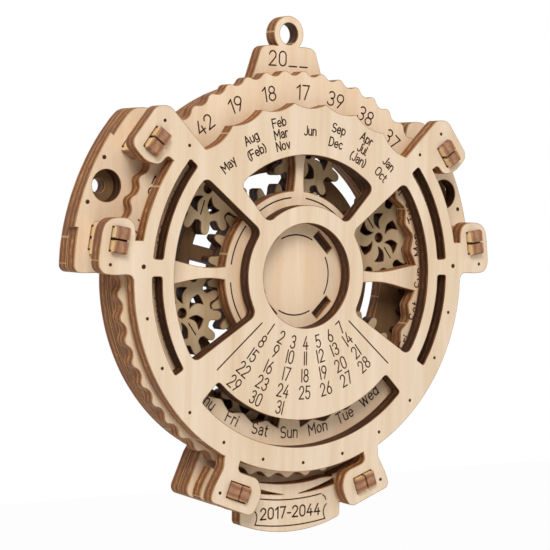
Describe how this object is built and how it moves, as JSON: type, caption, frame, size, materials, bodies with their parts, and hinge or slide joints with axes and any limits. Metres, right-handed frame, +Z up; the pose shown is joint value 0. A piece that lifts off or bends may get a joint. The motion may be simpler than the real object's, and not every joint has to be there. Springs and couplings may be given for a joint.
{
  "type": "perpetual calendar",
  "caption": "Hanging perpetual calendar of cut plywood: a dial with month, date and weekday windows over a year wheel that turns on a planetary gear train.",
  "frame": {"origin": "centre of the hanging eye in the plane of the back face", "axes": "+X right and +Z up seen from the front, +Y back into the wall"},
  "size_m": [0.0962, 0.016, 0.1043],
  "materials": {
    "plywood_board": "raw laser-cut birch",
    "plywood_wheel": "raw laser-cut birch",
    "plywood_gear": "raw laser-cut birch",
    "plywood_clip": "raw laser-cut birch, edge on",
    "hardwood_pin": "turned wood"
  },
  "bodies": {
    "frame": {"front_plate": "plywood_board", "ring_frame": "plywood_board", "back_plate": "plywood_board", "plaque_plate": "plywood_board", "clip_left": "plywood_clip", "clip_right": "plywood_clip", "clip_upper_left": "plywood_clip", "clip_upper_right": "plywood_clip", "clip_lower_left": "plywood_clip", "clip_lower_right": "plywood_clip"},
    "wheel": {"year_wheel": "plywood_wheel", "hub_spacer": "plywood_gear", "sun_gear": "plywood_gear", "hub_boss": "plywood_gear", "hub_key_1": "plywood_clip", "hub_key_2": "plywood_clip", "hub_key_3": "plywood_clip", "hub_key_4": "plywood_clip"},
    "carrier": {"planet_carrier": "plywood_gear", "planet_pin_1": "hardwood_pin", "planet_pin_2": "hardwood_pin", "planet_pin_3": "hardwood_pin", "planet_pin_4": "hardwood_pin", "planet_pin_5": "hardwood_pin", "planet_pin_6": "hardwood_pin"},
    "planet_1": {"planet_gear_1": "plywood_gear"},
    "planet_2": {"planet_gear_2": "plywood_gear"},
    "planet_3": {"planet_gear_3": "plywood_gear"},
    "planet_4": {"planet_gear_4": "plywood_gear"},
    "planet_5": {"planet_gear_5": "plywood_gear"},
    "planet_6": {"planet_gear_6": "plywood_gear"}
  },
  "joints": [
    {"name": "wheel_turn", "type": "hinge", "parent": "frame", "child": "wheel", "pos_m": [0, -0.0089, -0.0487], "axis": [0, 1, 0], "continuous": true},
    {"name": "carrier_turn", "type": "hinge", "parent": "frame", "child": "carrier", "pos_m": [0, -0.0015, -0.0487], "axis": [0, 1, 0], "continuous": true},
    {"name": "planet_1_spin", "type": "hinge", "parent": "carrier", "child": "planet_1", "pos_m": [0.02403, -0.0048, -0.04112], "axis": [0, 1, 0], "continuous": true},
    {"name": "planet_2_spin", "type": "hinge", "parent": "carrier", "child": "planet_2", "pos_m": [0.00545, -0.0048, -0.0241], "axis": [0, 1, 0], "continuous": true},
    {"name": "planet_3_spin", "type": "hinge", "parent": "carrier", "child": "planet_3", "pos_m": [-0.01858, -0.0048, -0.03168], "axis": [0, 1, 0], "continuous": true},
    {"name": "planet_4_spin", "type": "hinge", "parent": "carrier", "child": "planet_4", "pos_m": [-0.02403, -0.0048, -0.05628], "axis": [0, 1, 0], "continuous": true},
    {"name": "planet_5_spin", "type": "hinge", "parent": "carrier", "child": "planet_5", "pos_m": [-0.00545, -0.0048, -0.0733], "axis": [0, 1, 0], "continuous": true},
    {"name": "planet_6_spin", "type": "hinge", "parent": "carrier", "child": "planet_6", "pos_m": [0.01858, -0.0048, -0.06573], "axis": [0, 1, 0], "continuous": true}
  ],
  "couplings": [
    {"joint": "carrier_turn", "follows": "wheel_turn", "ratio": 0.33333},
    {"joint": "planet_1_spin", "follows": "wheel_turn", "ratio": -1.3333},
    {"joint": "planet_2_spin", "follows": "wheel_turn", "ratio": -1.3333},
    {"joint": "planet_3_spin", "follows": "wheel_turn", "ratio": -1.3333},
    {"joint": "planet_4_spin", "follows": "wheel_turn", "ratio": -1.3333},
    {"joint": "planet_5_spin", "follows": "wheel_turn", "ratio": -1.3333},
    {"joint": "planet_6_spin", "follows": "wheel_turn", "ratio": -1.3333}
  ]
}
